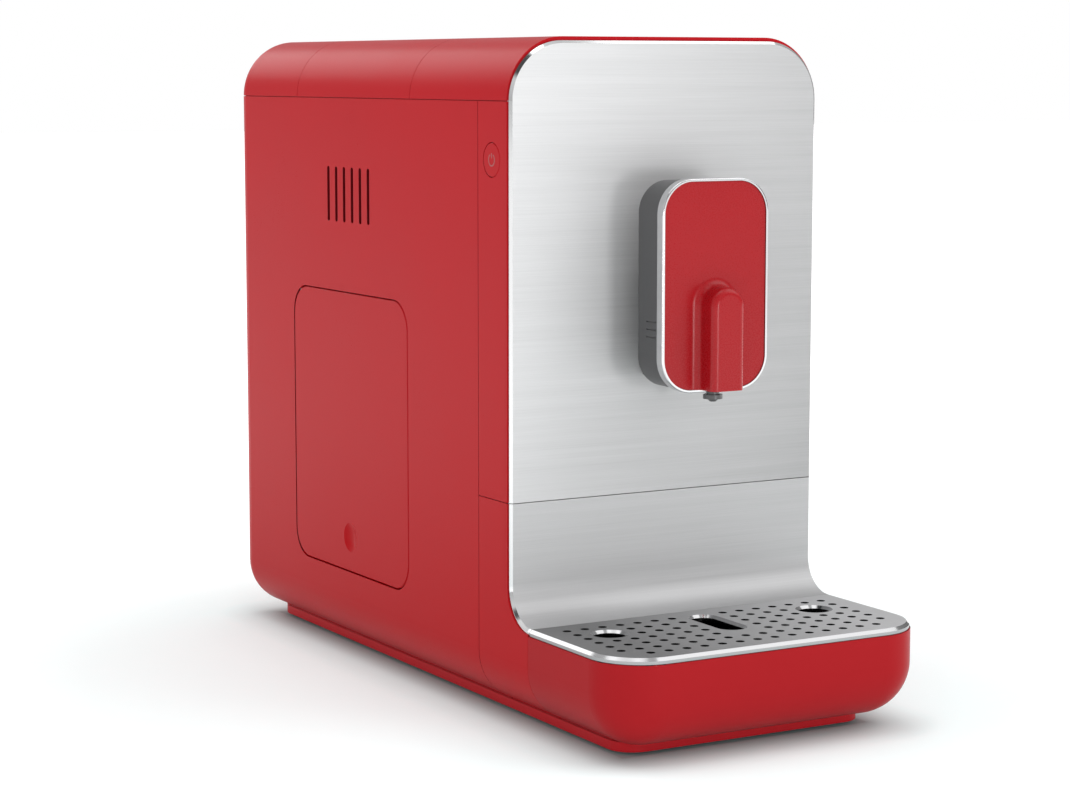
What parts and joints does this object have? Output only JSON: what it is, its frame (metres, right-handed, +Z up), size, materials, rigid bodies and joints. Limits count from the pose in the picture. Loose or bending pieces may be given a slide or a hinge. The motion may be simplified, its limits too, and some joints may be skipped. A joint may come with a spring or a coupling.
{
  "type": "bean-to-cup espresso machine",
  "caption": "Compact bean-to-cup espresso machine with a steel front, sliding spout, pull-out drip drawer, lift-out water tank, bean hopper and side service door.",
  "frame": {"origin": "on the ground, under the middle of the bounding box", "axes": "+Z up; the steel front and the spout face -Y; +X to the right of someone facing the machine"},
  "size_m": [0.18, 0.433, 0.338],
  "materials": {
    "red_plastic": "satin moulded plastic",
    "brushed_steel": "fine horizontal brushing, polished edges",
    "chrome": "polished",
    "dark_plastic": "satin moulded plastic",
    "inner_plastic": "plain moulded plastic",
    "clear_plastic": "clear moulded plastic",
    "rubber": "matte",
    "valve_plastic": "plain",
    "steel": "machined",
    "motor_metal": "satin",
    "aluminium": "die-cast",
    "circuit_board": "solder mask",
    "hose": "silicone"
  },
  "bodies": {
    "casing": {"base_plinth": "red_plastic", "rubber_feet": "rubber", "left_side_panel": "red_plastic", "right_side_panel": "red_plastic", "rear_panel": "red_plastic", "rear_screws": "steel", "cord_gland": "dark_plastic", "front_frame": "red_plastic", "front_panel": "brushed_steel", "top_cover": "red_plastic", "control_plate": "dark_plastic", "control_board": "circuit_board", "button_switches": "dark_plastic", "power_switch": "dark_plastic", "bean_hopper": "dark_plastic", "grinder_housing": "inner_plastic", "upper_burr": "steel", "grinder_motor": "motor_metal", "grounds_chute": "dark_plastic", "mid_deck": "inner_plastic", "centre_wall": "inner_plastic", "tank_bay": "inner_plastic", "pump": "motor_metal", "thermoblock": "aluminium", "suction_hose": "hose", "pressure_hose": "hose", "coffee_hose": "hose", "brew_frame": "inner_plastic", "brew_chamber": "inner_plastic", "brew_gearmotor": "motor_metal", "door_pins": "steel", "spout_rail": "dark_plastic"},
    "bean_lid": {"bean_lid": "red_plastic", "lid_seal": "rubber"},
    "grind_knob": {"grind_knob": "dark_plastic"},
    "burr": {"lower_burr": "steel", "burr_shaft": "steel", "burr_gear": "valve_plastic"},
    "motor_pinion": {"motor_pinion": "steel"},
    "water_tank": {"water_tank": "clear_plastic", "tank_valve": "valve_plastic"},
    "tank_lid": {"tank_lid": "red_plastic"},
    "brew_piston": {"brew_piston": "inner_plastic"},
    "brew_spindle": {"brew_spindle": "steel"},
    "service_door": {"service_door": "red_plastic"},
    "spout": {"spout_housing": "dark_plastic", "spout_trim": "chrome", "spout_cover": "red_plastic", "spout_nozzle": "dark_plastic"},
    "drawer": {"drawer_shell": "red_plastic", "lower_front_panel": "brushed_steel", "drip_tray": "red_plastic", "grounds_container": "dark_plastic"},
    "drip_grate": {"drip_grate": "brushed_steel"},
    "tray_float": {"tray_float": "dark_plastic"},
    "power_button": {"power_button": "red_plastic"},
    "espresso_button": {"espresso_button": "chrome"},
    "coffee_button": {"coffee_button": "chrome"},
    "ristretto_button": {"ristretto_button": "chrome"},
    "rinse_button": {"rinse_button": "chrome"}
  },
  "joints": [
    {"name": "bean_lid_lift", "type": "slide", "parent": "casing", "child": "bean_lid", "axis": [0, 0, 1], "range_m": [0, 0.06]},
    {"name": "grind_knob_turn", "type": "hinge", "parent": "casing", "child": "grind_knob", "pos_m": [0.071, 0.0215, 0.3068], "axis": [0, 0, 1], "range_deg": [-120, 120]},
    {"name": "burr_spin", "type": "hinge", "parent": "casing", "child": "burr", "pos_m": [0.034, 0.0635, 0.207], "axis": [0, 0, 1], "continuous": true},
    {"name": "pinion_spin", "type": "hinge", "parent": "casing", "child": "motor_pinion", "pos_m": [0.034, 0.0959, 0.207], "axis": [0, 0, 1], "continuous": true},
    {"name": "tank_lift", "type": "slide", "parent": "casing", "child": "water_tank", "axis": [0, 0, 1], "range_m": [0, 0.145]},
    {"name": "tank_lid_lift", "type": "slide", "parent": "water_tank", "child": "tank_lid", "axis": [0, 0, 1], "range_m": [0, 0.04]},
    {"name": "piston_lift", "type": "slide", "parent": "casing", "child": "brew_piston", "axis": [0, 0, 1], "range_m": [0, 0.03]},
    {"name": "spindle_turn", "type": "hinge", "parent": "casing", "child": "brew_spindle", "pos_m": [-0.044, 0.0955, 0.056], "axis": [0, 0, 1], "range_deg": [0, 1080]},
    {"name": "door_swing", "type": "hinge", "parent": "casing", "child": "service_door", "pos_m": [-0.0885, 0.06575, 0.2], "axis": [0, 1, 0], "range_deg": [0, 40]},
    {"name": "spout_height", "type": "slide", "parent": "casing", "child": "spout", "axis": [0, 0, -1], "range_m": [0, 0.045]},
    {"name": "drawer_pull", "type": "slide", "parent": "casing", "child": "drawer", "axis": [0, -1, 0], "range_m": [0, 0.15]},
    {"name": "grate_lift", "type": "slide", "parent": "drawer", "child": "drip_grate", "axis": [0, 0, 1], "range_m": [0, 0.04]},
    {"name": "float_rise", "type": "slide", "parent": "drawer", "child": "tray_float", "axis": [0, 0, 1], "range_m": [0, 0.008]},
    {"name": "power_press", "type": "slide", "parent": "casing", "child": "power_button", "axis": [1, 0, 0], "range_m": [0, 0.0015], "stiffness_N_per_m": 500, "springref_m": -0.0006},
    {"name": "espresso_press", "type": "slide", "parent": "casing", "child": "espresso_button", "axis": [0, 0, -1], "range_m": [0, 0.0012], "stiffness_N_per_m": 500, "springref_m": -0.0006},
    {"name": "coffee_press", "type": "slide", "parent": "casing", "child": "coffee_button", "axis": [0, 0, -1], "range_m": [0, 0.0012], "stiffness_N_per_m": 500, "springref_m": -0.0006},
    {"name": "ristretto_press", "type": "slide", "parent": "casing", "child": "ristretto_button", "axis": [0, 0, -1], "range_m": [0, 0.0012], "stiffness_N_per_m": 500, "springref_m": -0.0006},
    {"name": "rinse_press", "type": "slide", "parent": "casing", "child": "rinse_button", "axis": [0, 0, -1], "range_m": [0, 0.0012], "stiffness_N_per_m": 500, "springref_m": -0.0006}
  ],
  "couplings": [
    {"joint": "pinion_spin", "follows": "burr_spin", "ratio": -3},
    {"joint": "spindle_turn", "follows": "piston_lift", "rad_per_m": 628.32}
  ]
}
